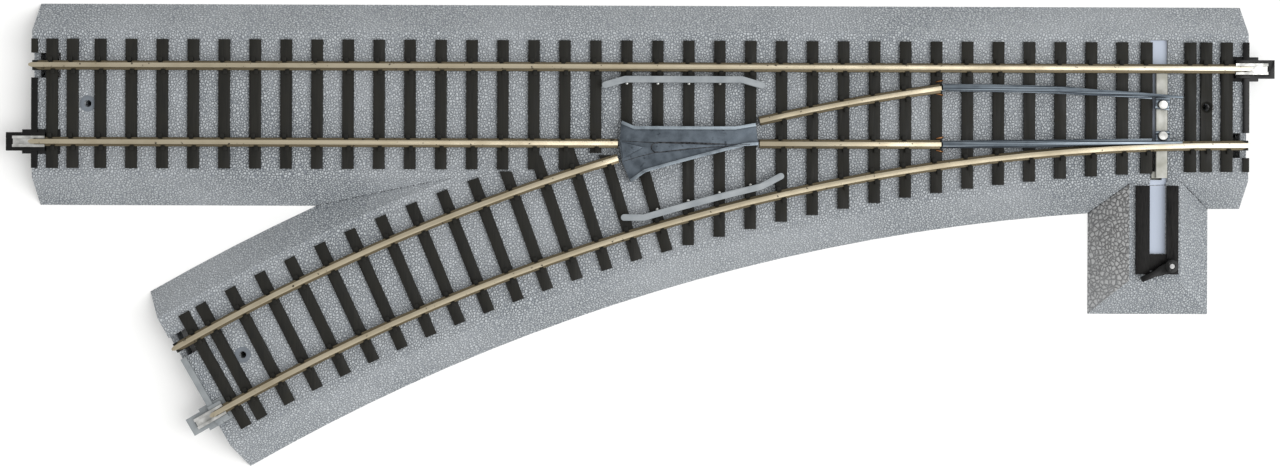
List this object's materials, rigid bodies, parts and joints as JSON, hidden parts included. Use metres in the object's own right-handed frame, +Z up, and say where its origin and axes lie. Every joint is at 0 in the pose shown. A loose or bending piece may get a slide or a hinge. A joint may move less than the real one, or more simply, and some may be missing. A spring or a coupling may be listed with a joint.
{
  "type": "model railway turnout",
  "caption": "Left-hand sectional track turnout for a two-rail model railway, with grey ballast roadbed, swinging point blades and a hand throw lever.",
  "frame": {"origin": "toe end joint face, on the straight track's centreline, at the underside", "axes": "+X out of the toe end along the straight track, +Y away from the branch, +Z up"},
  "size_m": [0.3974, 0.1468, 0.014],
  "materials": {
    "ballast_grey": "textured matt",
    "tie_black": "matt",
    "nickel_silver": "drawn satin",
    "zinc_cast": "as cast",
    "light_grey_plastic": "satin",
    "ivory_plastic": "satin",
    "black_plastic": "satin",
    "clip_grey": "satin",
    "bright_steel": "plated",
    "spring_steel": "satin",
    "phosphor_bronze": "satin"
  },
  "bodies": {
    "track_base": {"roadbed": "ballast_grey", "throw_housing": "ballast_grey", "throw_housing_cover": "clip_grey", "cover_screws": "bright_steel", "headblock_frame": "tie_black", "heel_ties": "tie_black", "turnout_ties": "tie_black", "toe_ties": "tie_black", "branch_ties": "tie_black", "straight_stock_rail": "nickel_silver", "curved_stock_rail": "nickel_silver", "straight_closure_rail": "nickel_silver", "curved_closure_rail": "nickel_silver", "straight_heel_rail": "nickel_silver", "branch_heel_rail": "nickel_silver", "frog_casting": "zinc_cast", "frog_screws": "bright_steel", "straight_guard_rail": "light_grey_plastic", "curved_guard_rail": "light_grey_plastic", "blade_heel_pins": "phosphor_bronze", "lever_pivot_pin": "bright_steel", "detent_spring": "spring_steel", "toe_end_clip": "black_plastic", "heel_end_clip": "black_plastic", "branch_end_clip": "clip_grey", "toe_rail_joiner": "bright_steel", "heel_rail_joiner": "bright_steel", "branch_rail_joiner": "bright_steel", "straight_route_jumper": "phosphor_bronze", "branch_route_jumper": "phosphor_bronze"},
    "throwbar": {"throwbar": "ivory_plastic", "straight_blade_rivet": "bright_steel", "curved_blade_rivet": "bright_steel"},
    "lever": {"throw_lever": "black_plastic", "throw_crank": "black_plastic"},
    "straight_blade": {"straight_point_blade": "zinc_cast"},
    "curved_blade": {"curved_point_blade": "zinc_cast"}
  },
  "joints": [
    {"name": "lever_swing", "type": "hinge", "parent": "track_base", "child": "lever", "pos_m": [-0.0246, -0.0497, 0.0117], "axis": [0, 0, -1], "range_deg": [0, 49.6]},
    {"name": "throwbar_slide", "type": "slide", "parent": "track_base", "child": "throwbar", "axis": [0, 1, 0], "range_m": [0, 0.00717]},
    {"name": "straight_point_swing", "type": "hinge", "parent": "track_base", "child": "straight_blade", "pos_m": [-0.0946, -0.01193, 0.011], "axis": [0, 0, 1], "range_deg": [0, 6.11]},
    {"name": "curved_point_swing", "type": "hinge", "parent": "track_base", "child": "curved_blade", "pos_m": [-0.0946, 0.00581, 0.011], "axis": [0, 0, 1], "range_deg": [0, 6.11]}
  ],
  "couplings": [
    {"joint": "throwbar_slide", "follows": "lever_swing", "m_per_rad": 0.0082855},
    {"joint": "straight_point_swing", "follows": "lever_swing", "ratio": 0.12311},
    {"joint": "curved_point_swing", "follows": "lever_swing", "ratio": 0.12311}
  ]
}
